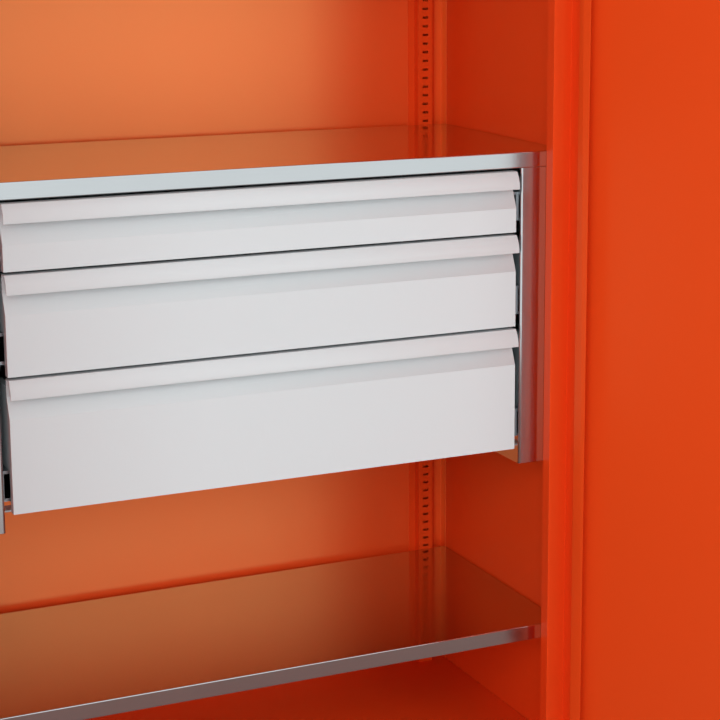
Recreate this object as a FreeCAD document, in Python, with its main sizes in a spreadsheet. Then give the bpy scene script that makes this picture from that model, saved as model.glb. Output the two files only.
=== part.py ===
import FreeCAD, Part
import math
import operator
import os
import Sketcher

# A double-door steel storage cabinet with a hung drawer unit and galvanised shelves.
# Millimetres and degrees. The origin is the middle of the footprint on the floor, the front faces -Y,
# +X is to the right for a person in front of it, and both doors stand open as they are seen.

VALUES = {
    # Body
    "width": 1000,
    "depth": 500,
    "height": 1950,
    "wall": 1,
    "base_height": 60,
    "base_wall": 2,
    "base_flange": 45,
    "anchor_hole": 12,
    "anchor_inset": 25,
    "wall_hole": 10,
    "wall_hole_spacing": 800,
    "wall_hole_drop": 100,
    # Folded edge around the door opening
    "edge_width": 10,
    "recess_depth": 25.5,
    "stop_width": 31,
    "stop_return": 21,
    "back_flange": 20,
    # Slotted uprights
    "upright_wall": 1.5,
    "upright_depth": 18.5,
    "upright_face": 27,
    "upright_foot": 12,
    "upright_inset": 41,
    "slot_width": 10.5,
    "slot_height": 4,
    "slot_pitch": 15,
    "slot_lift": 6.2,
    "slot_margin": 30,
    # Shelves
    "cover_level": 1100,
    "upper_steps": 27,
    "lower_steps": 52,
    "shelf_height": 25,
    "shelf_wall": 1,
    "shelf_lip": 12,
    "shelf_bend": 1.5,
    "shelf_side_gap": 2.5,
    "fit_gap": 0.3,
    "clip_width": 24,
    "clip_height": 22,
    "clip_ledge": 16,
    "clip_wall": 1.5,
    "hook_width": 9.5,
    "hook_height": 3,
    "hook_reach": 3,
    "hook_drop": 7,
    # Drawer unit
    "unit_inset": 85.5,
    "unit_wall": 1.2,
    "unit_bend": 3.5,
    "unit_front_flange": 74,
    "unit_rear_flange": 72,
    "unit_tail": 27.5,
    "tie_width": 25,
    "tie_thickness": 3,
    "tie_setback": 90,
    "unit_hook_steps": 27,
    "first_hook_step": 4,
    # Drawers
    "drawer_zone_1": 100,
    "drawer_zone_2": 150,
    "drawer_zone_3": 200,
    "drawer_gap": 4,
    "front_side_gap": 10.8,
    "front_wall": 1.5,
    "front_reach": 5,
    "grip_height": 27,
    "grip_reach": 16.5,
    "grip_top_reach": 7,
    "grip_radius": 38,
    "pull_recess": 8,
    "slope_height": 31,
    "box_wall": 1,
    "box_rim": 8,
    "box_lift": 12,
    "box_headroom": 30,
    "box_length": 400,
    # Telescopic runners
    "runner_space": 13,
    "runner_wall": 1.2,
    "runner_gap": 0.4,
    "runner_height": 45,
    "runner_length": 400,
    "runner_setback": 2,
    "runner_lift": 4,
    "screw_hole": 4,
    "screw_head": 8,
    "screw_head_height": 2.5,
    "screw_inset": 50,
    # Doors
    "door_depth": 25,
    "door_gap": 2,
    "door_middle_gap": 3,
    "door_lip": 20,
    "door_angle": 115,
    # Hinges
    "pivot_inset": 3,
    "pivot_reach": 4.3,
    "knuckle_radius": 4,
    "knuckle_length": 30,
    "pin_radius": 2.45,
    "running_gap": 0.05,
    "hinge_gap": 0.4,
    "hinge_plate": 1.5,
    "hinge_strap": 35,
    "weld_overlap": 1,
    "hinge_end_inset": 150,
    "pin_head_radius": 3.5,
    "pin_head_height": 1.5,
    # Closing strip of the left door
    "strip_wall": 1.5,
    "strip_grip": 18,
    "strip_overlap": 21,
    "strip_end_gap": 5,
    "strip_step": 0.5,
    "strip_bend": 2,
    # Lock of the right door
    "lock_level": 1010,
    "lock_inset": 45,
    "plate_half_width": 18,
    "plate_top": 35,
    "plate_bottom": 95,
    "plate_wall": 3,
    "case_half_width": 22,
    "case_half_height": 45,
    "case_depth": 8,
    "spindle_radius": 5,
    "boss_radius": 9,
    "lever_length": 100,
    "lever_half_width": 8,
    "lever_thickness": 8,
    "lever_stand_off": 4,
    "disc_radius": 16.5,
    "disc_thickness": 3,
    "crank_radius": 12,
    "crank_pin_radius": 2.5,
    "crank_angle": 45,
    "rod_width": 10,
    "rod_thickness": 4,
    "rod_offset": 10,
    "rod_tip_gap": 4,
    "rod_clearance": 2,
    "rod_rail_gap": 1,
    "rod_joggle": 25,
    "yoke_half_width": 7.25,
    "yoke_half_height": 7,
    "yoke_slot_half_width": 4.75,
    "guide_height": 20,
    "guide_margin": 4,
    "guide_inset": 200,
    "cylinder_radius": 6.4,
    "cylinder_head_radius": 8,
    "cylinder_head_height": 2,
    "cylinder_tail": 2,
    "cylinder_drop": 68,
}

OPERATORS = {"+": operator.add, "-": operator.sub, "*": operator.mul, "/": operator.truediv}
SIDES = (("left", -1), ("right", 1))
TOLERANCE = 0.01  # within which an edge is the one that a fillet looks for

doc = FreeCAD.newDocument("storage_cabinet")
sheet = doc.addObject("Spreadsheet::Sheet", "Sizes")
for row, (name, number) in enumerate(VALUES.items(), 1):
    sheet.set(f"A{row}", name)
    sheet.set(f"B{row}", str(number))
    sheet.setAlias(f"B{row}", name)
doc.recompute()


class Size:
    """A length or count with the formula, on the sheet's cells, that it comes from."""

    def __init__(self, value, text):
        self.value = float(value)
        self.text = text

    def __add__(self, other):
        return joined("+", self, other)

    def __radd__(self, other):
        return joined("+", other, self)

    def __sub__(self, other):
        return joined("-", self, other)

    def __rsub__(self, other):
        return joined("-", other, self)

    def __mul__(self, other):
        return joined("*", self, other)

    def __rmul__(self, other):
        return joined("*", other, self)

    def __truediv__(self, other):
        return joined("/", self, other)

    def __neg__(self):
        return joined("*", -1, self)


def as_size(number):
    if isinstance(number, Size):
        return number
    return Size(number, f"({float(number)})")


def joined(sign, first, second):
    first, second = as_size(first), as_size(second)
    return Size(OPERATORS[sign](first.value, second.value), f"({first.text} {sign} {second.text})")


def whole(size):
    """The largest whole number that isn't above the size."""
    return Size(math.floor(size.value), f"floor({size.text})")


def sine(angle):
    """The sine of an angle in degrees."""
    return Size(math.sin(math.radians(angle.value)), f"sin({angle.text} * 1 deg)")


class Cells:
    """The sheet's cells by name."""

    def __getattr__(self, name):
        return Size(VALUES[name], f"Sizes.{name}")


cell = Cells()
nodes = []


def bind(thing, path, size):
    thing.setExpression(path, as_size(size).text)


def sub_part(thing, label, place=(0, 0, 0), turn=None):
    """Names a finished sub-part and puts it in its place; turn is an angle about the vertical."""
    thing.Label = label
    for axis, size in zip("xyz", place):
        bind(thing, f"Placement.Base.{axis}", size)
    if turn is not None:
        thing.Placement.Rotation = FreeCAD.Rotation(FreeCAD.Vector(0, 0, 1), as_size(turn).value)
        bind(thing, "Placement.Rotation.Angle", turn)
    nodes.append(thing)
    return thing


def new_body(name):
    return doc.addObject("PartDesign::Body", name)


def fold(path, wall):
    """Outline of a sheet folded square along path; the wall lies to its left, or to its right if negative."""
    path = [(as_size(u), as_size(v)) for u, v in path]
    normals = []
    for (u, v), (next_u, next_v) in zip(path, path[1:]):
        du, dv = next_u.value - u.value, next_v.value - v.value
        normals.append((-(dv > 0) + (dv < 0), (du > 0) - (du < 0)))
    far_side = []
    for index, (u, v) in enumerate(path):
        near = {normals[max(index - 1, 0)], normals[min(index, len(normals) - 1)]}
        far_side.append((u + wall * sum(n[0] for n in near), v + wall * sum(n[1] for n in near)))
    return path + far_side[::-1]


def rectangle(low_u, high_u, low_v, high_v):
    return [(low_u, low_v), (high_u, low_v), (high_u, high_v), (low_u, high_v)]


def draw(drawing, outline):
    """Adds a closed outline. A corner is u, v and, where an arc leaves it, its radius and bulging side."""
    corners = [(as_size(u), as_size(v), *arc) for u, v, *arc in outline]
    first = drawing.GeometryCount
    rules, bound, joins = [], [], []
    for index, (u, v, *arc) in enumerate(corners):
        next_u, next_v = corners[(index + 1) % len(corners)][:2]
        start = FreeCAD.Vector(u.value, v.value, 0)
        end = FreeCAD.Vector(next_u.value, next_v.value, 0)
        if arc:
            radius, side = as_size(arc[0]), arc[1]
            along = end - start
            rise = radius.value - math.sqrt(radius.value**2 - (along.Length / 2) ** 2)
            outward = FreeCAD.Vector(-along.y, along.x, 0).normalize() * (side * rise)
            number = drawing.addGeometry(Part.Arc(start, (start + end) / 2 + outward, end), False)
            bound.append((Sketcher.Constraint("Radius", number, radius.value), radius))
        else:
            number = drawing.addGeometry(Part.LineSegment(start, end), False)
        distances = [(drawing.getPoint(number, point) - start).Length for point in (1, 2)]
        joins.append((1, 2) if distances[0] < distances[1] else (2, 1))
    for index, (u, v, *arc) in enumerate(corners):
        number = first + index
        after = (index + 1) % len(corners)
        meeting = (number, joins[index][1], first + after, joins[after][0])
        rules.append(Sketcher.Constraint("Coincident", *meeting))
        bound.append((Sketcher.Constraint("DistanceX", -1, 1, number, joins[index][0], u.value), u))
        bound.append((Sketcher.Constraint("DistanceY", -1, 1, number, joins[index][0], v.value), v))
    drawing.addConstraint(rules)
    for rule, size in bound:
        bind(drawing, f"Constraints[{drawing.addConstraint(rule)}]", size)


def draw_circle(drawing, u, v, diameter):
    u, v, diameter = as_size(u), as_size(v), as_size(diameter)
    middle = FreeCAD.Vector(u.value, v.value, 0)
    circle = Part.Circle(middle, FreeCAD.Vector(0, 0, 1), diameter.value / 2)
    number = drawing.addGeometry(circle, False)
    for rule, size in (
        (Sketcher.Constraint("DistanceX", -1, 1, number, 3, u.value), u),
        (Sketcher.Constraint("DistanceY", -1, 1, number, 3, v.value), v),
        (Sketcher.Constraint("Diameter", number, diameter.value), diameter),
    ):
        bind(drawing, f"Constraints[{drawing.addConstraint(rule)}]", size)


def sketch(body, plane, outlines=(), circles=(), lift=0):
    """A sketch on the body's XY, XZ or YZ plane, moved by lift along the plane's normal: +Z, -Y or +X."""
    drawing = body.newObject("Sketcher::SketchObject", f"{body.Name}_sketch")
    support = next(f for f in body.Origin.OriginFeatures if f.Role == f"{plane}_Plane")
    drawing.AttachmentSupport = [(support, "")]
    drawing.MapMode = "FlatFace"
    bind(drawing, "AttachmentOffset.Base.z", lift)
    for outline in outlines:
        draw(drawing, outline)
    for circle in circles:
        draw_circle(drawing, *circle)
    return drawing


def pad(body, drawing, length, back=False, centred=False):
    """Raises the sketch along its plane's normal, against it, or half each way."""
    feature = body.newObject("PartDesign::Pad", f"{body.Name}_pad")
    feature.Profile = drawing
    feature.Reversed = back
    if centred:
        feature.SideType = "Symmetric"
    bind(feature, "Length", length)
    return feature


def pocket(body, drawing, length):
    """Cuts the sketch through length, half each side of its plane."""
    feature = body.newObject("PartDesign::Pocket", f"{body.Name}_pocket")
    feature.Profile = drawing
    feature.Type = "Length"
    feature.SideType = "Symmetric"
    bind(feature, "Length", length)
    return feature


def round_edges(body, radius, chosen):
    """Rounds the straight edges of the body for which chosen says yes to both ends."""
    doc.recompute()
    base = body.Tip
    names = [
        f"Edge{number}"
        for number, edge in enumerate(base.Shape.Edges, 1)
        if chosen(*(vertex.Point for vertex in edge.Vertexes))
    ]
    feature = body.newObject("PartDesign::Fillet", f"{body.Name}_fillet")
    feature.Base = (base, names)
    bind(feature, "Radius", radius)
    return feature


def block(low, high):
    """A box between two corners."""
    box = doc.addObject("Part::Box", "block")
    for axis, length, start, end in zip("xyz", ("Length", "Width", "Height"), low, high):
        start, end = as_size(start), as_size(end)
        bind(box, f"Placement.Base.{axis}", start)
        bind(box, length, end - start)
    return box


def across(first, second):
    """Two positions along an axis in rising order."""
    first, second = as_size(first), as_size(second)
    return (first, second) if first.value < second.value else (second, first)


def rod(radius, start, length, along="z"):
    """A cylinder that starts at a point and runs along an axis."""
    cylinder = doc.addObject("Part::Cylinder", "cylinder")
    turns = {"z": ((0, 0, 1), 0), "x": ((0, 1, 0), 90), "y": ((1, 0, 0), -90)}
    axis, angle = turns[along]
    cylinder.Placement.Rotation = FreeCAD.Rotation(FreeCAD.Vector(*axis), angle)
    for name, size in zip("xyz", start):
        bind(cylinder, f"Placement.Base.{name}", size)
    bind(cylinder, "Radius", radius)
    bind(cylinder, "Height", length)
    return cylinder


def fuse(*pieces):
    joined_up = doc.addObject("Part::MultiFuse", "fusion")
    joined_up.Shapes = list(pieces)
    joined_up.Refine = True
    return joined_up


def cut(base, *tools):
    for tool in tools:
        result = doc.addObject("Part::Cut", "cut")
        result.Base = base
        result.Tool = tool
        result.Refine = True
        base = result
    return base


def group(pieces):
    """Several like pieces as one sub-part of separate solids."""
    together = doc.addObject("Part::Compound", "group")
    together.Links = list(pieces)
    return together


# Positions that several pieces share
half = cell.width / 2
front = -cell.depth / 2
rear = cell.depth / 2
body_top = cell.height - cell.wall
post_x = half - cell.edge_width
stop_y = front + cell.recess_depth
opening_x = post_x - cell.stop_width
shelf_front = stop_y + cell.stop_return
ledge_z = cell.base_height + cell.edge_width
floor_z = ledge_z + cell.stop_width
rim_z = cell.height - cell.edge_width
ceiling_z = rim_z - cell.stop_width
back_inside = rear - cell.wall
shelf_rear = back_inside - cell.upright_depth
front_slot_x = (opening_x + half) / 2
rear_slot_x = half - cell.wall - cell.upright_inset
upper_level = cell.cover_level + cell.upper_steps * cell.slot_pitch
lower_level = cell.cover_level - cell.lower_steps * cell.slot_pitch
unit_x = half - cell.unit_inset
unit_top = cell.cover_level - cell.shelf_height
zone_1_bottom = unit_top - cell.drawer_zone_1
zone_2_bottom = zone_1_bottom - cell.drawer_zone_2
zone_3_bottom = zone_2_bottom - cell.drawer_zone_3
unit_bottom = zone_3_bottom - cell.unit_tail
unit_front = shelf_front + cell.fit_gap
unit_rear = shelf_rear - cell.fit_gap
box_x = unit_x - cell.runner_space
front_rear = cell.pull_recess + cell.front_wall
box_front = shelf_front + front_rear
runner_front = box_front + cell.runner_setback
door_bottom = ledge_z + cell.door_gap
door_top = rim_z - cell.door_gap
pivot_x = half - cell.pivot_inset
pivot_y = front - cell.pivot_reach
drawers = (
    (1, cell.drawer_zone_1, zone_1_bottom),
    (2, cell.drawer_zone_2, zone_2_bottom),
    (3, cell.drawer_zone_3, zone_3_bottom),
)


def slot_level(steps):
    """Height of the slot that lies so many steps below the cover shelf."""
    return cell.cover_level + cell.slot_lift - steps * cell.slot_pitch


def make_base_frame():
    """Welded plinth with a flange on the floor, drilled for the anchors."""
    body = new_body("base_frame")

    def ring(width):
        outer = rectangle(-half, half, front, rear)
        inner = rectangle(-half + width, half - width, front + width, rear - width)
        return [outer, inner]

    pad(body, sketch(body, "XY", ring(cell.base_wall)), cell.base_height)
    pad(body, sketch(body, "XY", ring(cell.base_flange)), cell.base_wall)
    top_flange = sketch(body, "XY", ring(cell.back_flange), lift=cell.base_height - cell.base_wall)
    pad(body, top_flange, cell.base_wall)
    anchors = [
        (sx * (half - cell.anchor_inset), sy * (rear - cell.anchor_inset), cell.anchor_hole)
        for sx in (-1, 1)
        for sy in (-1, 1)
    ]
    holes = sketch(body, "XY", circles=anchors, lift=cell.base_wall / 2)
    pocket(body, holes, 2 * cell.base_wall)
    sub_part(body, "base_frame")


def make_side_panel(name, s):
    """Side wall with the front post that is folded out of it: edge, door recess, stop face and return."""
    body = new_body("side_panel")
    path = [
        (s * half, rear),
        (s * half, front),
        (s * post_x, front),
        (s * post_x, stop_y),
        (s * opening_x, stop_y),
        (s * opening_x, shelf_front),
    ]
    profile = sketch(body, "XY", [fold(path, -s * cell.wall)])
    pad(body, profile, body_top - cell.base_height)
    sub_part(body, f"side_panel_{name}", (0, 0, cell.base_height))


def make_back_panel():
    """Rear wall with a flange along each side wall and two holes for fixing to a building's wall."""
    body = new_body("back_panel")
    inside = half - cell.wall
    path = [
        (-inside, rear - cell.back_flange),
        (-inside, rear),
        (inside, rear),
        (inside, rear - cell.back_flange),
    ]
    pad(body, sketch(body, "XY", [fold(path, -cell.wall)]), body_top - cell.base_height)
    hole_level = cell.height - cell.wall_hole_drop - cell.base_height
    holes = [(s * cell.wall_hole_spacing / 2, hole_level, cell.wall_hole) for s in (-1, 1)]
    pocket(body, sketch(body, "XZ", circles=holes, lift=-rear + cell.wall / 2), 2 * cell.wall)
    sub_part(body, "back_panel", (0, 0, cell.base_height))


def rod_hole(body, x, lift):
    """Cuts the hole in a rail that a lock rod's tip goes into when the door is closed and locked."""
    clearance = cell.rod_clearance
    middle_y = pivot_y + rod_tip_y + cell.rod_thickness / 2
    hole = rectangle(
        x - cell.rod_width / 2 - clearance,
        x + cell.rod_width / 2 + clearance,
        middle_y - cell.rod_thickness / 2 - clearance / 2,
        middle_y + cell.rod_thickness / 2 + clearance,
    )
    pocket(body, sketch(body, "XY", [hole], lift=lift), 2 * cell.wall)


def make_top_panel():
    """Roof sheet with the front rail folded from it and a rear flange."""
    body = new_body("top_panel")
    roof = sketch(body, "XY", [rectangle(-half, half, front, rear)], lift=body_top)
    pad(body, roof, cell.wall)
    rail = [
        (front, body_top),
        (front, rim_z),
        (stop_y, rim_z),
        (stop_y, ceiling_z),
        (shelf_front, ceiling_z),
    ]
    pad(body, sketch(body, "YZ", [fold(rail, cell.wall)]), 2 * opening_x, centred=True)
    rim = [(front, body_top), (front, rim_z), (stop_y, rim_z)]
    pad(body, sketch(body, "YZ", [fold(rim, cell.wall)]), 2 * post_x, centred=True)
    flange = rectangle(back_inside - cell.wall, back_inside, body_top - cell.back_flange, body_top)
    pad(body, sketch(body, "YZ", [flange]), 2 * (half - 2 * cell.wall), centred=True)
    rod_hole(body, upper_rod_x, ceiling_z + cell.wall / 2)
    sub_part(body, "top_panel")


def make_bottom_panel():
    """Floor sheet with the front rail folded from it, on a ring of flanges."""
    body = new_body("bottom_panel")
    inside = half - 2 * cell.wall
    area = rectangle(-inside, inside, shelf_front, back_inside)
    pad(body, sketch(body, "XY", [area], lift=floor_z - cell.wall), cell.wall)
    rail = [
        (front, cell.base_height),
        (front, ledge_z),
        (stop_y, ledge_z),
        (stop_y, floor_z),
        (shelf_front + cell.wall, floor_z),
    ]
    pad(body, sketch(body, "YZ", [fold(rail, -cell.wall)]), 2 * opening_x, centred=True)
    ledge = [(front, cell.base_height), (front, ledge_z), (stop_y, ledge_z)]
    pad(body, sketch(body, "YZ", [fold(ledge, -cell.wall)]), 2 * post_x, centred=True)
    skirt = [
        area,
        rectangle(-inside + cell.wall, inside - cell.wall, shelf_front + cell.wall, back_inside - cell.wall),
    ]
    pad(body, sketch(body, "XY", skirt, lift=cell.base_height), cell.edge_width + cell.stop_width)
    rod_hole(body, lower_rod_x, floor_z - cell.wall / 2)
    sub_part(body, "bottom_panel")


def slot_row(body, x, lift):
    """Cuts the row of slots that the shelves and the drawer unit hook into."""
    lowest_steps = whole((slot_level(0) - floor_z - cell.slot_margin) / cell.slot_pitch)
    lowest = slot_level(lowest_steps)
    count = whole((ceiling_z - cell.slot_margin - lowest) / cell.slot_pitch) + 1
    slot = rectangle(
        x - cell.slot_width / 2,
        x + cell.slot_width / 2,
        lowest - cell.slot_height / 2 - floor_z,
        lowest + cell.slot_height / 2 - floor_z,
    )
    drawing = sketch(body, "XZ", [slot], lift=lift)
    first = pocket(body, drawing, 2 * cell.upright_wall)
    row_of_slots = body.newObject("PartDesign::LinearPattern", "slots")
    row_of_slots.Originals = [first]
    row_of_slots.Direction = (drawing, ["V_Axis"])
    row_of_slots.Mode = "Spacing"
    bind(row_of_slots, "Offset", cell.slot_pitch)
    bind(row_of_slots, "Occurrences", count)
    body.Tip = row_of_slots


def make_front_upright(name, s):
    """Channel that closes the front post from behind; its slots face the rear."""
    body = new_body("front_upright")
    near, far = opening_x + cell.wall, half - cell.wall
    path = [
        (s * near, stop_y + cell.wall),
        (s * near, shelf_front),
        (s * far, shelf_front),
        (s * far, stop_y + cell.wall),
    ]
    pad(body, sketch(body, "XY", [fold(path, -s * cell.upright_wall)]), ceiling_z - floor_z)
    slot_row(body, s * front_slot_x, -shelf_front + cell.upright_wall / 2)
    sub_part(body, f"front_upright_{name}", (0, 0, floor_z))


def make_rear_upright(name, s):
    """Hat section on the rear wall; its slots face the front."""
    body = new_body("rear_upright")
    middle = s * rear_slot_x
    side = cell.upright_face / 2
    foot_y = back_inside - cell.upright_wall
    path = [
        (middle - side - cell.upright_foot, foot_y),
        (middle - side, foot_y),
        (middle - side, shelf_rear),
        (middle + side, shelf_rear),
        (middle + side, foot_y),
        (middle + side + cell.upright_foot, foot_y),
    ]
    pad(body, sketch(body, "XY", [fold(path, cell.upright_wall)]), ceiling_z - floor_z)
    slot_row(body, middle, -shelf_rear - cell.upright_wall / 2)
    sub_part(body, f"rear_upright_{name}", (0, 0, floor_z))


def make_shelf(label, level):
    """Galvanised shelf: a sheet folded down all round, with lips under the front and rear strips."""
    body = new_body("shelf")
    shelf_half = half - cell.wall - cell.shelf_side_gap
    y0, y1 = shelf_front + cell.fit_gap, shelf_rear - cell.fit_gap
    bottom = -cell.shelf_height
    path = [
        (y0 + cell.shelf_lip, bottom),
        (y0, bottom),
        (y0, 0),
        (y1, 0),
        (y1, bottom),
        (y1 - cell.shelf_lip, bottom),
    ]
    pad(body, sketch(body, "YZ", [fold(path, -cell.shelf_wall)]), 2 * shelf_half, centred=True)
    for s in (-1, 1):
        end = sketch(body, "YZ", [rectangle(y0, y1, bottom, 0)], lift=s * shelf_half)
        pad(body, end, cell.shelf_wall, back=s > 0)
    round_edges(
        body,
        cell.shelf_bend,
        lambda a, b: abs(a.x - b.x) > shelf_half.value and all(on_outer_bend(p, y0, y1) for p in (a, b)),
    )
    sub_part(body, label, (0, 0, level))


def on_outer_bend(point, y0, y1):
    at_face = min(abs(point.y - y0.value), abs(point.y - y1.value)) < TOLERANCE
    at_edge = min(abs(point.z), abs(point.z + VALUES["shelf_height"])) < TOLERANCE
    return at_face and at_edge


def make_shelf_clips():
    """Clips that hook into the uprights and carry the upper and lower shelf, four to a shelf."""
    clips = []
    for level in (upper_level, lower_level):
        under = level - cell.shelf_height
        for s in (-1, 1):
            for x, face, inward in ((front_slot_x, shelf_front, 1), (rear_slot_x, shelf_rear, -1)):
                clips.append(shelf_clip(s * x, face, inward, under, level))
    sub_part(group(clips), "shelf_clips")


def shelf_clip(x, face, inward, under, level):
    wide = cell.clip_width / 2
    plate_y = across(face, face + inward * cell.clip_wall)
    ledge_y = across(face, face + inward * cell.clip_ledge)
    plate = block((x - wide, plate_y[0], under - cell.clip_height), (x + wide, plate_y[1], under))
    ledge = block((x - wide, ledge_y[0], under - cell.clip_wall), (x + wide, ledge_y[1], under))
    return fuse(plate, ledge, *hook(x, face, inward, level + cell.slot_lift - 3 * cell.slot_pitch))


def hook(x, face, inward, level):
    """Tongue through a slot of the upright at face, with its tip turned down behind the upright's wall."""
    wide, high = cell.hook_width / 2, cell.hook_height / 2
    tip_near = face - inward * (cell.upright_wall + cell.fit_gap)
    tip_y = across(tip_near, tip_near - inward * cell.hook_reach)
    tongue_y = across(face + inward * cell.unit_wall, tip_near - inward * cell.hook_reach)
    tongue = block((x - wide, tongue_y[0], level - high), (x + wide, tongue_y[1], level + high))
    tip = block((x - wide, tip_y[0], level - cell.hook_drop), (x + wide, tip_y[1], level + high))
    return tongue, tip


def make_unit_side(name, s):
    """Galvanised side plate of the drawer unit: web, front and rear flange, and hooks into the uprights."""
    body = new_body("unit_side_sheet")
    path = [
        (s * (unit_x + cell.unit_front_flange), unit_front),
        (s * unit_x, unit_front),
        (s * unit_x, unit_rear),
        (s * (unit_x + cell.unit_rear_flange), unit_rear),
    ]
    profile = sketch(body, "XY", [fold(path, -s * cell.unit_wall)], lift=unit_bottom)
    pad(body, profile, unit_top - unit_bottom)
    bends = {(unit_x.value, unit_front.value): cell.unit_bend}
    inner = (unit_x.value + VALUES["unit_wall"], unit_front.value + VALUES["unit_wall"])
    bends[inner] = cell.unit_bend - cell.unit_wall
    for (x, y), radius in bends.items():
        round_edges(
            body,
            radius,
            lambda a, b: all(abs(p.x - s * x) < TOLERANCE and abs(p.y - y) < TOLERANCE for p in (a, b)),
        )
    holes = [
        (y, bottom + cell.box_lift + cell.runner_lift + cell.runner_height / 2, cell.screw_hole)
        for _, _, bottom in drawers
        for y in screw_places()
    ]
    drawing = sketch(body, "YZ", circles=holes, lift=s * (unit_x + cell.unit_wall / 2))
    pocket(body, drawing, 2 * cell.unit_wall)
    hooks = []
    for steps in (cell.first_hook_step, cell.first_hook_step + cell.unit_hook_steps):
        hooks += hook(s * front_slot_x, shelf_front, 1, slot_level(steps))
        hooks += hook(s * rear_slot_x, shelf_rear, -1, slot_level(steps))
    sub_part(fuse(body, *hooks), f"unit_side_{name}")


def screw_places():
    """Where the screws of a runner lie along Y."""
    return (
        runner_front + cell.screw_inset,
        runner_front + cell.runner_length - cell.screw_inset,
    )


def make_tie_bars():
    """Flat bars that join the unit's side plates below the lowest drawer."""
    bars = []
    top = unit_bottom + cell.tie_thickness
    for y, inward in ((box_front + cell.tie_setback, 1), (unit_rear, -1)):
        bar_y = across(y, y + inward * cell.tie_width)
        bars.append(block((-unit_x, bar_y[0], unit_bottom), (unit_x, bar_y[1], top)))
    sub_part(group(bars), "unit_tie_bars")


def make_runner_screws():
    """Screws through the side plates into the fixed runner members, heads outside."""
    screws = []
    for _, _, bottom in drawers:
        level = bottom + cell.box_lift + cell.runner_lift + cell.runner_height / 2
        for y in screw_places():
            for _, s in SIDES:
                shank_x = across(s * (unit_x - cell.runner_wall), s * (unit_x + cell.unit_wall))
                head_x = across(
                    s * (unit_x + cell.unit_wall),
                    s * (unit_x + cell.unit_wall + cell.screw_head_height),
                )
                shank = rod(cell.screw_hole / 2, (shank_x[0], y, level), shank_x[1] - shank_x[0], "x")
                head = rod(cell.screw_head / 2, (head_x[0], y, level), head_x[1] - head_x[0], "x")
                screws.append(fuse(shank, head))
    sub_part(group(screws), "runner_screws")


def make_runner(number, bottom, name, s):
    """The three nested channels of one telescopic runner: on the unit, between, and on the drawer."""
    step = cell.runner_wall + cell.runner_gap
    top = cell.runner_height / 2
    level = bottom + cell.box_lift + cell.runner_lift + top
    members = (
        ("fixed", unit_x, box_x + step, top, -1),
        ("middle", unit_x - step, box_x + step, top - step, -1),
        ("drawer", box_x, unit_x - 2 * step, top - 2 * step, 1),
    )
    for member, web_x, tip_x, high, turn in members:
        body = new_body(f"runner_{member}")
        path = [(s * tip_x, high), (s * web_x, high), (s * web_x, -high), (s * tip_x, -high)]
        profile = sketch(body, "XZ", [fold(path, turn * s * cell.runner_wall)])
        pad(body, profile, cell.runner_length, back=True)
        if member == "fixed":
            holes = [(y - runner_front, 0, cell.screw_hole) for y in screw_places()]
            drawing = sketch(body, "YZ", circles=holes, lift=s * (unit_x - cell.runner_wall / 2))
            pocket(body, drawing, 2 * cell.runner_wall)
        sub_part(body, f"runner_{member}_{number}_{name}", (0, runner_front, level))


def make_drawer_box(number, zone, bottom):
    """Folded drawer box, open at the top, with a rim turned inward."""
    body = new_body("drawer_box")
    high = zone - cell.box_headroom

    def ring(width):
        outer = rectangle(-box_x, box_x, 0, cell.box_length)
        inner = rectangle(-box_x + width, box_x - width, width, cell.box_length - width)
        return [outer, inner]

    pad(body, sketch(body, "XY", [rectangle(-box_x, box_x, 0, cell.box_length)]), cell.box_wall)
    pad(body, sketch(body, "XY", ring(cell.box_wall)), high)
    pad(body, sketch(body, "XY", ring(cell.box_rim), lift=high - cell.box_wall), cell.box_wall)
    sub_part(body, f"drawer_box_{number}", (0, box_front, bottom + cell.box_lift))


def make_drawer_front(number, zone, bottom):
    """Folded drawer front: rounded full-width grip above a recess, a slope and the flat face."""
    body = new_body("drawer_front")
    wall = cell.front_wall
    high = zone - cell.drawer_gap
    back, recess = front_rear, cell.pull_recess
    grip = cell.grip_height
    crease = -grip - cell.slope_height
    face = -cell.front_reach
    outline = [
        (back, 0),
        (-cell.grip_top_reach, 0, cell.grip_radius, -1),
        (-cell.grip_reach, -grip),
        (-cell.grip_reach + wall, -grip, cell.grip_radius - wall, 1),
        (-cell.grip_top_reach + wall, -wall),
        (recess, -wall),
        (recess, -grip),
        (face, crease),
        (face, -high),
        (back, -high),
        (back, -high + wall),
        (face + wall, -high + wall),
        (face + wall, crease),
        (back, -grip),
    ]
    front_half = unit_x - cell.front_side_gap
    pad(body, sketch(body, "YZ", [outline]), 2 * front_half, centred=True)
    end = [(back, 0), (recess, 0), (recess, -grip), (face, crease), (face, -high), (back, -high)]
    for s in (-1, 1):
        pad(body, sketch(body, "YZ", [end], lift=s * front_half), wall, back=s > 0)
    sub_part(body, f"drawer_front_{number}", (0, shelf_front, bottom + high))


# The doors and what they carry are drawn closed, from the hinge axis at the floor, with the front facing -Y.
# a is the distance from the hinge axis towards the free edge.
door_edge = pivot_x - post_x + cell.door_gap
door_free = pivot_x - cell.door_middle_gap / 2
skin_y = cell.pivot_reach
door_rear_y = skin_y + cell.door_depth
hinge_levels = (
    door_bottom + cell.hinge_end_inset,
    (door_bottom + door_top) / 2,
    door_top - cell.hinge_end_inset,
)
lock_x = -(door_free - cell.lock_inset)
case_y = skin_y + cell.wall
disc_y = case_y + cell.case_depth + cell.fit_gap
rod_y = disc_y + cell.disc_thickness + cell.runner_gap
rod_tip_y = skin_y + cell.recess_depth + cell.wall + cell.rod_rail_gap
upper_rod_x = pivot_x + lock_x - cell.rod_offset
lower_rod_x = pivot_x + lock_x + cell.rod_offset
crank_rise = cell.crank_radius * sine(cell.crank_angle)


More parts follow.
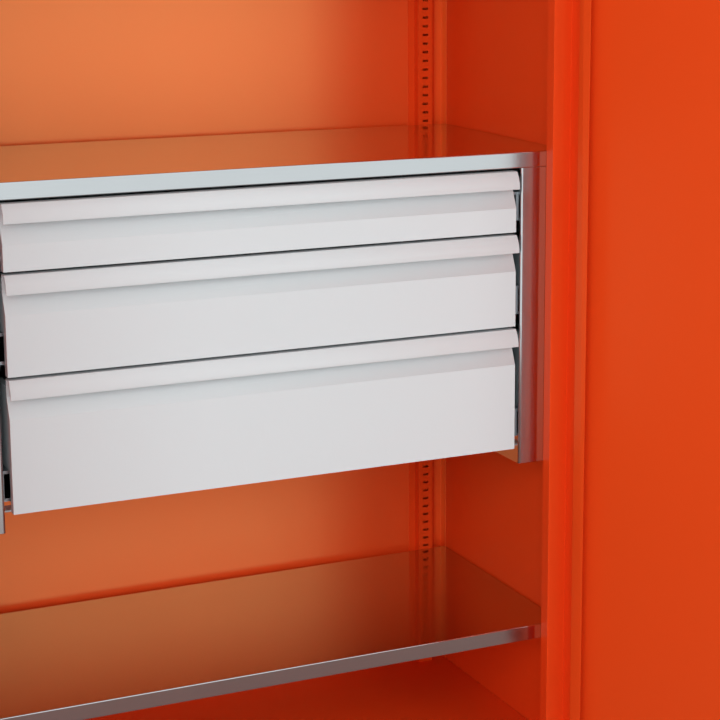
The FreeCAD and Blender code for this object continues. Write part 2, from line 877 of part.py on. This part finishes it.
def on_door(thing, label, s):
    """Hangs a sub-part on its door, turned open about the hinge axis."""
    sub_part(thing, label, (s * pivot_x, pivot_y, 0), s * cell.door_angle)


def make_door(name, s):
    """Pan door: skin, walls folded back all round, and lips along their rear edges."""
    body = new_body("door")

    def area(inset):
        x = across(-s * (door_edge + inset), -s * (door_free - inset))
        return rectangle(*x, door_bottom + inset, door_top - inset)

    pad(body, sketch(body, "XZ", [area(0)], lift=-skin_y), cell.wall, back=True)
    pad(body, sketch(body, "XZ", [area(0), area(cell.wall)], lift=-skin_y), cell.door_depth, back=True)
    lips = sketch(body, "XZ", [area(0), area(cell.door_lip)], lift=-door_rear_y)
    pad(body, lips, cell.wall)
    if s > 0:
        holes = [
            (lock_x, cell.lock_level, 2 * cell.boss_radius),
            (lock_x, cell.lock_level - cell.cylinder_drop, 2 * cell.cylinder_radius),
        ]
        pocket(body, sketch(body, "XZ", circles=holes, lift=-skin_y - cell.wall / 2), 2 * cell.wall)
    on_door(body, f"door_{name}", s)


def make_hinges(name, s):
    """Weld-on hinges: a lower knuckle on the post, an upper one on the door, and a pin through both."""
    frame_knuckles, door_knuckles, pins = [], [], []
    r, length = cell.knuckle_radius, cell.knuckle_length
    plate_x = across(s * (pivot_x - cell.edge_width / 2 - cell.fit_gap), s * (half - cell.fit_gap))
    strap_x = across(-s * door_edge, -s * (door_edge + cell.hinge_strap))
    neck_x = across(0, -s * (door_edge + cell.weld_overlap))
    for level in hinge_levels:
        x, y = s * pivot_x, pivot_y
        knuckle = rod(r, (x, y, level - length), length)
        plate = block(
            (plate_x[0], front - cell.hinge_plate, level - length),
            (plate_x[1], front, level),
        )
        bore = rod(cell.pin_radius, (x, y, level - length), length)
        frame_knuckles.append(cut(fuse(knuckle, plate), bore))
        start = level + cell.hinge_gap
        knuckle = rod(r, (0, 0, start), length)
        strap = block((strap_x[0], skin_y - cell.hinge_plate, start), (strap_x[1], skin_y, start + length))
        neck_y = (skin_y - cell.hinge_plate - cell.fit_gap, skin_y - cell.fit_gap)
        neck = block((neck_x[0], neck_y[0], start), (neck_x[1], neck_y[1], start + length))
        bore = rod(cell.pin_radius + cell.running_gap, (0, 0, start), length)
        door_knuckles.append(cut(fuse(knuckle, strap, neck), bore))
        head_level = start + length + cell.hinge_gap
        shank = rod(cell.pin_radius, (x, y, level - length), length + (head_level - level))
        head = rod(cell.pin_head_radius, (x, y, head_level), cell.pin_head_height)
        pins.append(fuse(shank, head))
    sub_part(group(frame_knuckles), f"hinge_frame_{name}")
    on_door(group(door_knuckles), f"hinge_door_{name}", s)
    sub_part(group(pins), f"hinge_pins_{name}")


def make_closing_strip():
    """Joggled strip on the left door's free edge that the right door closes over."""
    low, high = floor_z + cell.strip_end_gap, ceiling_z - cell.strip_end_gap
    y0, y1 = door_rear_y, door_rear_y + cell.strip_step
    bend = cell.strip_bend / 2
    on_own_door = block(
        (door_free - cell.strip_grip, y0, low),
        (door_free + bend, y0 + cell.strip_wall, high),
    )
    beyond = block(
        (door_free - bend, y1, low),
        (door_free + cell.strip_overlap, y1 + cell.strip_wall, high),
    )
    on_door(fuse(on_own_door, beyond), "closing_strip", -1)


def make_lock():
    """Turn handle, spindle, crank disc and the two rods of the right door's lock."""
    z = cell.lock_level
    plate_y = skin_y - cell.plate_wall
    plate = block(
        (lock_x - cell.plate_half_width, plate_y, z - cell.plate_bottom),
        (lock_x + cell.plate_half_width, skin_y, z + cell.plate_top),
    )
    plate_bore = rod(cell.boss_radius + cell.running_gap, (lock_x, plate_y, z), cell.plate_wall, "y")
    key_z = z - cell.cylinder_drop
    key_bore = rod(cell.cylinder_radius, (lock_x, plate_y, key_z), cell.plate_wall, "y")
    on_door(cut(plate, plate_bore, key_bore), "lock_plate", 1)

    key_length = cell.plate_wall + cell.wall + cell.cylinder_tail
    key_body = rod(cell.cylinder_radius, (lock_x, plate_y, key_z), key_length, "y")
    key_head = rod(
        cell.cylinder_head_radius,
        (lock_x, plate_y - cell.cylinder_head_height, key_z),
        cell.cylinder_head_height,
        "y",
    )
    on_door(fuse(key_body, key_head), "lock_cylinder", 1)

    case = block(
        (lock_x - cell.case_half_width, case_y, z - cell.case_half_height),
        (lock_x + cell.case_half_width, case_y + cell.case_depth, z + cell.case_half_height),
    )
    case_bore = rod(cell.spindle_radius + cell.running_gap, (lock_x, case_y, z), cell.case_depth, "y")
    on_door(cut(case, case_bore), "lock_case", 1)

    lever_y = plate_y - cell.lever_stand_off - cell.lever_thickness
    boss = rod(cell.boss_radius, (lock_x, lever_y, z), skin_y - lever_y, "y")
    spindle = rod(cell.spindle_radius, (lock_x, skin_y, z), disc_y + cell.disc_thickness - skin_y, "y")
    lever = block(
        (lock_x, lever_y, z - cell.lever_half_width),
        (lock_x + cell.lever_length, lever_y + cell.lever_thickness, z + cell.lever_half_width),
    )
    lever_end = rod(
        cell.lever_half_width,
        (lock_x + cell.lever_length, lever_y, z),
        cell.lever_thickness,
        "y",
    )
    on_door(fuse(boss, spindle, lever, lever_end), "lock_handle", 1)

    disc = rod(cell.disc_radius, (lock_x, disc_y, z), cell.disc_thickness, "y")
    disc_bore = rod(cell.spindle_radius, (lock_x, disc_y, z), cell.disc_thickness, "y")
    pin_length = cell.disc_thickness + cell.runner_gap + cell.rod_thickness + cell.fit_gap
    pin_places = [(lock_x + side * crank_rise, disc_y, z + side * crank_rise) for side in (-1, 1)]
    crank_pins = [rod(cell.crank_pin_radius, place, pin_length, "y") for place in pin_places]
    on_door(cut(fuse(disc, *crank_pins), disc_bore), "lock_disc", 1)
    make_lock_rod("rod_upper", -1)
    make_lock_rod("rod_lower", 1)
    make_rod_guides()


def make_lock_rod(label, side):
    """Flat rod: yoke around the crank pin, bar inside the door, and a tip joggled back past the lips."""
    up = -side
    pin_z = cell.lock_level + side * crank_rise
    x = lock_x + side * cell.rod_offset
    rear_y = rod_y + cell.rod_thickness
    yoke = block(
        (x - cell.yoke_half_width, rod_y, pin_z - cell.yoke_half_height),
        (x + cell.yoke_half_width, rear_y, pin_z + cell.yoke_half_height),
    )
    slot_high = cell.crank_pin_radius + 2 * cell.fit_gap
    slot = block(
        (x - cell.yoke_slot_half_width, rod_y, pin_z - slot_high),
        (x + cell.yoke_slot_half_width, rear_y, pin_z + slot_high),
    )
    wide = cell.rod_width / 2
    tip_z = ceiling_z - cell.rod_tip_gap if up > 0 else floor_z + cell.rod_tip_gap
    bend_z = tip_z - up * cell.rod_joggle
    bar_z = across(pin_z + up * (slot_high + cell.wall), bend_z)
    bar = block((x - wide, rod_y, bar_z[0]), (x + wide, rear_y, bar_z[1]))
    bend = across(bend_z, bend_z - up * cell.rod_thickness)
    joggle = block((x - wide, rod_y, bend[0]), (x + wide, rod_tip_y + cell.rod_thickness, bend[1]))
    tip_span = across(tip_z, bend_z - up * cell.rod_thickness)
    tip = block(
        (x - wide, rod_tip_y, tip_span[0]),
        (x + wide, rod_tip_y + cell.rod_thickness, tip_span[1]),
    )
    on_door(fuse(cut(yoke, slot), bar, joggle, tip), label, 1)


def make_rod_guides():
    """Blocks on the door's skin that guide the rods near their ends."""
    guides = []
    for side, level in ((-1, door_top - cell.guide_inset), (1, door_bottom + cell.guide_inset)):
        x = lock_x + side * cell.rod_offset
        wide = cell.rod_width / 2 + cell.guide_margin
        high = cell.guide_height / 2
        rear_y = rod_y + cell.rod_thickness + cell.guide_margin
        guide = block((x - wide, case_y, level - high), (x + wide, rear_y, level + high))
        gap = cell.fit_gap
        way = block(
            (x - cell.rod_width / 2 - gap, rod_y - gap, level - high),
            (x + cell.rod_width / 2 + gap, rod_y + cell.rod_thickness + gap, level + high),
        )
        guides.append(cut(guide, way))
    on_door(group(guides), "rod_guides", 1)


make_base_frame()
make_bottom_panel()
make_top_panel()
make_back_panel()
for side_name, side_sign in SIDES:
    make_side_panel(side_name, side_sign)
    make_front_upright(side_name, side_sign)
    make_rear_upright(side_name, side_sign)
    make_unit_side(side_name, side_sign)
for shelf_name, shelf_level in (
    ("shelf_upper", upper_level),
    ("shelf_cover", cell.cover_level),
    ("shelf_lower", lower_level),
):
    make_shelf(shelf_name, shelf_level)
make_shelf_clips()
make_tie_bars()
make_runner_screws()
for drawer_number, drawer_zone, drawer_bottom in drawers:
    make_drawer_box(drawer_number, drawer_zone, drawer_bottom)
    make_drawer_front(drawer_number, drawer_zone, drawer_bottom)
    for side_name, side_sign in SIDES:
        make_runner(drawer_number, drawer_bottom, side_name, side_sign)
for side_name, side_sign in SIDES:
    make_door(side_name, side_sign)
    make_hinges(side_name, side_sign)
make_closing_strip()
make_lock()

doc.recompute()
for thing in doc.Objects:
    if {"Invalid", "Error"} & set(thing.State):
        raise RuntimeError(f"{thing.Name} ({thing.Label}) did not build: {thing.State}")
for node in nodes:
    if node.Shape.isNull() or not node.Shape.isValid():
        raise RuntimeError(f"{node.Label} has no valid shape")

os.makedirs("parts", exist_ok=True)
for node in nodes:
    node.Shape.exportStep(f"parts/{node.Label}.step")
    print(node.Label, len(node.Shape.Solids), round(node.Shape.Volume))
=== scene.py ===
import math

import bmesh
import bpy
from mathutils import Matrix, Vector

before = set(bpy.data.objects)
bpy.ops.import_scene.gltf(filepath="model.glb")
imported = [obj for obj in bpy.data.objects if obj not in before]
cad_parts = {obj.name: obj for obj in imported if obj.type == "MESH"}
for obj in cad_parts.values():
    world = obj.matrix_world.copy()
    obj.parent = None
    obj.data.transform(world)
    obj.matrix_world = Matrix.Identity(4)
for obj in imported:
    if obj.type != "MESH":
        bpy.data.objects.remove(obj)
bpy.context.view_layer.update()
scene = bpy.context.scene
scene.view_settings.view_transform = "Standard"


# The viewer stands in front of the left door and looks past the drawers at the open right door.
# Lengths are metres and angles degrees; the shifts are shares of the picture's width.
VIEW_FROM = (-1.0414, -2.8822, 1.4633)
VIEW_TURN = 25.91
VIEW_DIP = 11.28
VIEW_LENS = 98.3  # millimetres, as the sensor's width is
VIEW_SENSOR = 36
VIEW_SHIFT = (-0.1, -0.075)

camera = bpy.data.objects.new("camera", bpy.data.cameras.new("camera"))
scene.collection.objects.link(camera)
camera.location = VIEW_FROM
camera.rotation_euler = (math.radians(90 - VIEW_DIP), 0, -math.radians(VIEW_TURN))
camera.data.sensor_width = VIEW_SENSOR
camera.data.lens = VIEW_LENS
camera.data.shift_x, camera.data.shift_y = VIEW_SHIFT
scene.camera = camera


# A pale studio: matt floor, even light from all round and above, and two soft boxes that give the
# sheet metal its shape. In a gloss the room is brightest in front of the cabinet.
RAY_KINDS = ("Camera", "Glossy", "Transmission")


class Signal:
    """A node's output. Sums, differences and products of it add Math nodes."""

    def __init__(self, finish, socket):
        self.finish = finish
        self.socket = socket

    def maths(self, operation, first, second):
        return self.finish.node("ShaderNodeMath", {"operation": operation}, {0: first, 1: second})

    def __add__(self, other):
        return self.maths("ADD", self, other)

    def __radd__(self, other):
        return self.maths("ADD", other, self)

    def __sub__(self, other):
        return self.maths("SUBTRACT", self, other)

    def __rsub__(self, other):
        return self.maths("SUBTRACT", other, self)

    def __mul__(self, other):
        return self.maths("MULTIPLY", self, other)

    def __rmul__(self, other):
        return self.maths("MULTIPLY", other, self)


class Finish:
    """A tree of shader nodes: the finish of a piece, or the room's light."""

    def __init__(self, owner):
        owner.use_nodes = True
        self.owner = owner
        self.tree = owner.node_tree
        self.tree.nodes.clear()

    def node(self, kind, settings, sockets, output=0):
        """Adds a node with its settings, then the values or links of its sockets."""
        node = self.tree.nodes.new(kind)
        for name, value in settings.items():
            setattr(node, name, value)
        for name, value in sockets.items():
            if isinstance(value, Signal):
                self.tree.links.new(value.socket, node.inputs[name])
            else:
                node.inputs[name].default_value = value
        return Signal(self, node.outputs[output]) if node.outputs else None

    def ray(self, kind):
        """1 for rays of a kind, such as Camera or Glossy, and 0 for others."""
        return self.node("ShaderNodeLightPath", {}, {}, f"Is {kind} Ray")

    def looked_at(self):
        """1 for what the camera, a gloss or a clear surface looks at, and 0 for what is only lit by it."""
        camera_ray, gloss_ray, clear_ray = [self.ray(kind) for kind in RAY_KINDS]
        return camera_ray + gloss_ray + clear_ray

    def place(self):
        """Where a point lies in the cabinet's frame, in metres."""
        return self.node("ShaderNodeTexCoord", {}, {}, "Object")

    def along(self, axis):
        """The distance along X, Y or Z in the cabinet's frame."""
        return self.node("ShaderNodeSeparateXYZ", {}, {0: self.place()}, axis)

    def stretched(self, factors):
        """The place times a factor along each axis, for noise that is drawn out the other way."""
        return self.node("ShaderNodeVectorMath", {"operation": "MULTIPLY"}, {0: self.place(), 1: factors})

    def noise(self, per_metre, detail=2, roughness=0.5, factors=(1, 1, 1)):
        """Clouds from 0 to 1, so many to a metre; a small factor draws them out along its axis."""
        sockets = {
            "Vector": self.stretched(factors),
            "Scale": per_metre,
            "Detail": detail,
            "Roughness": roughness,
        }
        return self.node("ShaderNodeTexNoise", {}, sockets, "Fac")

    def rising(self, value, start, end, low=0, high=1):
        """Goes smoothly from low to high while value goes from start to end."""
        sockets = {"Value": value, "From Min": start, "From Max": end, "To Min": low, "To Max": high}
        return self.node("ShaderNodeMapRange", {"interpolation_type": "SMOOTHSTEP"}, sockets)

    def mixed(self, factor, first, second):
        """A colour between two, by factor."""
        sockets = {0: factor, 6: colour(first), 7: colour(second)}
        return self.node("ShaderNodeMix", {"data_type": "RGBA"}, sockets, 2)

    def bump(self, height, distance, normal=None):
        """Surface relief: height runs from 0 to 1 over a distance in metres."""
        sockets = {"Height": height, "Distance": distance, "Strength": 1}
        if normal is not None:
            sockets["Normal"] = normal
        return self.node("ShaderNodeBump", {}, sockets)

    def shader(self, **sockets):
        """The main shader, whose sockets are given by name with _ for spaces."""
        named = {name.replace("_", " "): value for name, value in sockets.items()}
        return self.node("ShaderNodeBsdfPrincipled", {}, named)

    def shown(self, surface):
        """Ends a material with its surface."""
        self.node("ShaderNodeOutputMaterial", {}, {"Surface": surface})
        return self.owner

    def all_over(self, **sockets):
        """Ends a material that has one shader over the whole surface."""
        return self.shown(self.shader(**sockets))


def colour(value):
    """The input for a colour socket: a node's output, or a colour that is given its alpha."""
    return value if isinstance(value, Signal) else (*value, 1)


def new_finish(name):
    """The finish of a new material."""
    return Finish(bpy.data.materials.new(name))


ROOM_LIGHT = 0.85
ROOM_TOP_LIGHT = 0.65
ROOM_BACKGROUND = 0.95
ROOM_DARK_SIDE = 0.62
ROOM_SIDES = (-0.2, 0.6)  # how far forward and back the gloss's view goes from light to dark
WHITE = (1, 1, 1, 1)

room = Finish(bpy.data.worlds.new("room"))
scene.world = room.owner
facing = room.node("ShaderNodeTexCoord", {}, {}, "Generated")
rearwards = room.node("ShaderNodeSeparateXYZ", {}, {0: facing}, "Y")
upwards = room.node("ShaderNodeSeparateXYZ", {}, {0: facing}, "Z")
gloss_level = room.rising(rearwards, *ROOM_SIDES, 1, ROOM_DARK_SIDE)
looked_at = room.looked_at()
light_level = room.rising(upwards, 0, 1, ROOM_LIGHT, ROOM_TOP_LIGHT)
seen = room.ray("Camera")
level = (1 - looked_at) * light_level + seen * ROOM_BACKGROUND + (looked_at - seen) * gloss_level
background = room.node("ShaderNodeBackground", {}, {"Color": WHITE, "Strength": level})
room.node("ShaderNodeOutputWorld", {}, {"Surface": background})

SOFT_BOXES = (
    # name, place, what it looks at, width, height, watts
    ("left_box", (-2.3, -3.9, 2.1), (0.2, 0, 0.8), 2.6, 2.2, 86),
    ("right_box", (1.9, -3.9, 1.0), (-0.3, 0, 0.7), 1.6, 1.8, 46),
)
for name, place, target, width, height, watts in SOFT_BOXES:
    lamp = bpy.data.lights.new(name, "AREA")
    lamp.shape = "RECTANGLE"
    lamp.size, lamp.size_y = width, height
    lamp.energy = watts
    holder = bpy.data.objects.new(name, lamp)
    scene.collection.objects.link(holder)
    holder.location = place
    holder.visible_glossy = False
    holder.visible_camera = False
    holder.rotation_euler = (Vector(target) - Vector(place)).to_track_quat("-Z", "Y").to_euler()


# The floor is pale to the eye and fades into the room. In the metal's gloss its near part is painted
# deep and warm, a painted shade with the cabinet's orange glow in it, as the low shelf's front edge shows
# it.
FLOOR_HALF = 14
FLOOR_FADE = (1.3, 3.6)
FLOOR_ROUGHNESS = 0.7
FLOOR_PALE = (0.80, 0.80, 0.80)
FLOOR_DUSTY = (0.76, 0.76, 0.76)
FLOOR_UNSEEN = (0.50, 0.50, 0.50)
FLOOR_PAINTED_SHADE_IN_GLOSS = (0.24, 0.13, 0.11)

floor_form = bmesh.new()
bmesh.ops.create_grid(floor_form, x_segments=1, y_segments=1, size=FLOOR_HALF)
floor_mesh = bpy.data.meshes.new("floor")
floor_form.to_mesh(floor_mesh)
floor_form.free()
floor = bpy.data.objects.new("floor", floor_mesh)
scene.collection.objects.link(floor)
floor_finish = new_finish("pale_floor")
pale = floor_finish.mixed(floor_finish.noise(per_metre=0.8, detail=3), FLOOR_DUSTY, FLOOR_PALE)
own_tone = floor_finish.mixed(floor_finish.ray("Camera"), FLOOR_UNSEEN, pale)
# Painted shade and reflection: glossy rays see the floor deep and warm, for the cabinet's shadow and orange
# glow near it.
tone = floor_finish.mixed(floor_finish.ray("Glossy"), own_tone, FLOOR_PAINTED_SHADE_IN_GLOSS)
laid = floor_finish.shader(Base_Color=tone, Roughness=FLOOR_ROUGHNESS)
away = floor_finish.node("ShaderNodeVectorMath", {"operation": "LENGTH"}, {0: floor_finish.place()}, "Value")
fade = floor_finish.rising(away, *FLOOR_FADE) * floor_finish.looked_at()
haze = floor_finish.node("ShaderNodeEmission", {}, {"Color": WHITE, "Strength": ROOM_BACKGROUND})
blend = floor_finish.node("ShaderNodeMixShader", {}, {0: fade, 1: laid, 2: haze})
floor.data.materials.append(floor_finish.shown(blend))


# The body: plinth, floor, roof, rear wall and side walls with their folded posts and slotted uprights.
# Sheet steel of 1 to 2 mm, folded, welded and powder coated orange. The coat has a fine orange peel.
PAINT = (0.85, 0.066, 0.009)
PAINT_DEEP = (0.82, 0.060, 0.008)
PAINT_GLOSS_TINT = (1.0, 0.68, 0.25, 1)
PEEL_DEPTH = 0.00003
WAVE_DEPTH = 0.00018


def coated(coat, light, deep, roughness, **constants):
    """Powder coat: peel of about a millimetre, longer waves, and a colour that drifts a little."""
    drift = coat.noise(per_metre=2.2, detail=3)
    speck = coat.noise(per_metre=900, detail=1)
    peel = coat.noise(per_metre=620, roughness=0.6)
    waves = coat.noise(per_metre=45)
    rub = coat.noise(per_metre=14, detail=5, roughness=0.65)
    relief = coat.bump(peel * 0.8 + speck * 0.2, PEEL_DEPTH)
    relief = coat.bump(waves, WAVE_DEPTH, relief)
    return coat.shader(
        Base_Color=coat.mixed(drift * 0.7 + speck * 0.3, light, deep),
        Roughness=roughness + rub * 0.08 + peel * 0.04,
        Normal=relief,
        **constants,
    )


SAME_POINT = 0.00001
SHARP_EDGE = 40
EASE_STEPS = 2


def dress(names, material, ease=0):
    """Gives CAD nodes their finish and, if ease is over 0, eases their sharp edges."""
    for name in names:
        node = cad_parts[name]
        node.data.materials.clear()
        node.data.materials.append(material)
        if ease:
            weld = node.modifiers.new("one_skin", "WELD")
            weld.merge_threshold = SAME_POINT
            bend = node.modifiers.new("eased_edges", "BEVEL")
            bend.width = ease
            bend.segments = EASE_STEPS
            bend.limit_method = "ANGLE"
            bend.angle_limit = math.radians(SHARP_EDGE)
            bend.harden_normals = True


SIDES = ("left", "right")
SHEET_EASE = 0.0004

SATIN = {"IOR": 1.6, "Specular_IOR_Level": 0.4, "Specular_Tint": PAINT_GLOSS_TINT}
GLOSSY = {"IOR": 2.1, "Specular_IOR_Level": 1.0, "Specular_Tint": PAINT_GLOSS_TINT}
# Painted light: a lighter copy of the body's orange, for the rear wall's inner face.
REAR_INNER_PAINTED_LIGHT = (0.93, 0.075, 0.011)
REAR_INNER_PAINTED_LIGHT_DEEP = (0.90, 0.070, 0.010)
REAR_SKIN = (0.2494, 0.2496)  # between the rear wall's inner and outer face
BODY_ROUGHNESS = 0.34
REAR_ROUGHNESS = 0.26

body_coat = new_finish("orange_powder_coat")
orange = body_coat.shown(coated(body_coat, PAINT, PAINT_DEEP, BODY_ROUGHNESS, **SATIN))
dress(["base_frame", "bottom_panel", "top_panel"], orange, SHEET_EASE)

# The rear wall's inner face has more gloss than its back, and its orange is painted lighter: painted light
# for the light that falls inside the cabinet.
rear_coat = new_finish("orange_rear_coat")
outside = rear_coat.rising(rear_coat.along("Y"), *REAR_SKIN)
inner_skin_painted_light = coated(rear_coat, REAR_INNER_PAINTED_LIGHT, REAR_INNER_PAINTED_LIGHT_DEEP, REAR_ROUGHNESS, **GLOSSY)
outer_skin = coated(rear_coat, PAINT, PAINT_DEEP, BODY_ROUGHNESS, **SATIN)
rear_blend = rear_coat.node("ShaderNodeMixShader", {}, {0: outside, 1: inner_skin_painted_light, 2: outer_skin})
dress(["back_panel"], rear_coat.shown(rear_blend), SHEET_EASE)
for side in SIDES:
    dress([f"side_panel_{side}", f"front_upright_{side}", f"rear_upright_{side}"], orange, SHEET_EASE)


# Three galvanised shelves, folded down all round, and the clips that carry two of them.
# Bright zinc keeps the fine lines of the rolling mill along the sheet and a soft mirror gloss.
ZINC = (0.64, 0.69, 0.71)
ZINC_DEEP = (0.57, 0.62, 0.64)
ZINC_ROUGHNESS = 0.07
MILL_LINES = (1, 60, 60)
PLATING = (0.55, 0.58, 0.61)
PLATING_DEEP = (0.46, 0.49, 0.52)
PLATING_ROUGHNESS = 0.24
PLATING_FLECKS = (20, 20, 20)
SPANGLE_DEPTH = 0.000008


def bright_zinc(name, light, deep, roughness, factors):
    """Zinc with soft clouds, and with lines that lie along the axis whose factor is smallest."""
    sheet = new_finish(name)
    cloud = sheet.noise(per_metre=6, detail=4, roughness=0.6)
    lines = sheet.noise(per_metre=14, detail=3, roughness=0.6, factors=factors)
    grain = sheet.noise(per_metre=700, detail=1)
    return sheet.all_over(
        Base_Color=sheet.mixed(cloud * 0.5 + lines * 0.5, light, deep),
        Metallic=1.0,
        Roughness=roughness + cloud * 0.05 + lines * 0.04,
        Normal=sheet.bump(lines * 0.6 + grain * 0.4, SPANGLE_DEPTH),
    )


shelf_zinc = bright_zinc("galvanised_shelf", ZINC, ZINC_DEEP, ZINC_ROUGHNESS, MILL_LINES)
dress(["shelf_upper", "shelf_cover", "shelf_lower"], shelf_zinc, SHEET_EASE)
plated = bright_zinc("zinc_plating", PLATING, PLATING_DEEP, PLATING_ROUGHNESS, PLATING_FLECKS)
dress(["shelf_clips"], plated, SHEET_EASE)


# The drawer unit's side plates hang by hooks in the uprights, with flat bars between them.
# They are the same galvanised sheet, with the mill's lines running upright.
UPRIGHT_LINES = (60, 60, 1)

upright_zinc = bright_zinc("galvanised_side", ZINC, ZINC_DEEP, ZINC_ROUGHNESS, UPRIGHT_LINES)
dress(["unit_side_left", "unit_side_right", "unit_tie_bars"], upright_zinc, SHEET_EASE)
dress(["runner_screws"], plated)


# Telescopic runners: three nested channels each side of a drawer, cold rolled and zinc plated.
# The outer one is screwed to the side plate, and the inner one is fixed to the drawer.
DRAWERS = (1, 2, 3)
RUNNER_PLATING = (0.50, 0.53, 0.56)
RUNNER_PLATING_DEEP = (0.42, 0.45, 0.48)
RUNNER_ROUGHNESS = 0.2

runner_zinc = bright_zinc(
    "plated_runner",
    RUNNER_PLATING,
    RUNNER_PLATING_DEEP,
    RUNNER_ROUGHNESS,
    MILL_LINES,
)
for number in DRAWERS:
    for side in SIDES:
        for member in ("fixed", "middle", "drawer"):
            dress([f"runner_{member}_{number}_{side}"], runner_zinc, SHEET_EASE)


# Drawers: boxes and fronts folded from sheet steel of 1 to 1.5 mm, with a satin light grey coat.
# Each front has a rounded grip over its whole width, above a recess for the fingers.
GREY = (0.585, 0.64, 0.655)
GREY_DEEP = (0.56, 0.615, 0.63)
GREY_ROUGHNESS = 0.36

grey_coat = new_finish("light_grey_powder_coat")
grey = grey_coat.shown(coated(grey_coat, GREY, GREY_DEEP, GREY_ROUGHNESS))
for number in DRAWERS:
    dress([f"drawer_box_{number}", f"drawer_front_{number}"], grey, SHEET_EASE)


# The doors are pans of sheet steel with weld-on hinges, and the left one carries a closing strip.
# Their coat is the body's orange painted a shade deeper, as painted shade for the stronger light on the open
# doors; the pins are zinc plated.
# Painted shade: a darker copy of the body's orange, for the doors.
DOOR_PAINTED_SHADE = (0.78, 0.070, 0.009)
DOOR_PAINTED_SHADE_DEEP = (0.75, 0.064, 0.008)
DOOR_ROUGHNESS = 0.38

door_coat = new_finish("orange_door_coat")
door_skin = coated(door_coat, DOOR_PAINTED_SHADE, DOOR_PAINTED_SHADE_DEEP, DOOR_ROUGHNESS, **SATIN)
door_orange = door_coat.shown(door_skin)
for side in SIDES:
    dress([f"door_{side}", f"hinge_frame_{side}", f"hinge_door_{side}"], door_orange, SHEET_EASE)
    dress([f"hinge_pins_{side}"], plated, SHEET_EASE)
dress(["closing_strip"], door_orange, SHEET_EASE)


# The lock: a black plastic plate and handle outside, and a plated key cylinder. Inside the door
# are its steel case, a crank disc and two flat rods that run through black guides.
BLACK = (0.018, 0.018, 0.019)
BLACK_WORN = (0.028, 0.028, 0.030)
GRAIN_DEPTH = 0.00005
MOULDED_EASE = 0.002
NICKEL = (0.68, 0.67, 0.64)
NICKEL_DEEP = (0.60, 0.59, 0.57)

plastic = new_finish("black_plastic")
grain = plastic.noise(per_metre=1500, roughness=0.6)
wear = plastic.noise(per_metre=30, detail=3)
black = plastic.all_over(
    Base_Color=plastic.mixed(wear, BLACK, BLACK_WORN),
    Roughness=0.42 + grain * 0.16,
    Normal=plastic.bump(grain, GRAIN_DEPTH),
)
dress(["lock_plate", "lock_handle"], black, MOULDED_EASE)
dress(["rod_guides"], black, SHEET_EASE)
dress(["lock_case", "lock_disc", "rod_upper", "rod_lower"], plated, SHEET_EASE)
nickel = new_finish("nickel_plating")
swirl = nickel.noise(per_metre=400)
dress(
    ["lock_cylinder"],
    nickel.all_over(
        Base_Color=nickel.mixed(swirl, NICKEL, NICKEL_DEEP),
        Metallic=1.0,
        Roughness=0.12 + swirl * 0.1,
    ),
    SHEET_EASE,
)
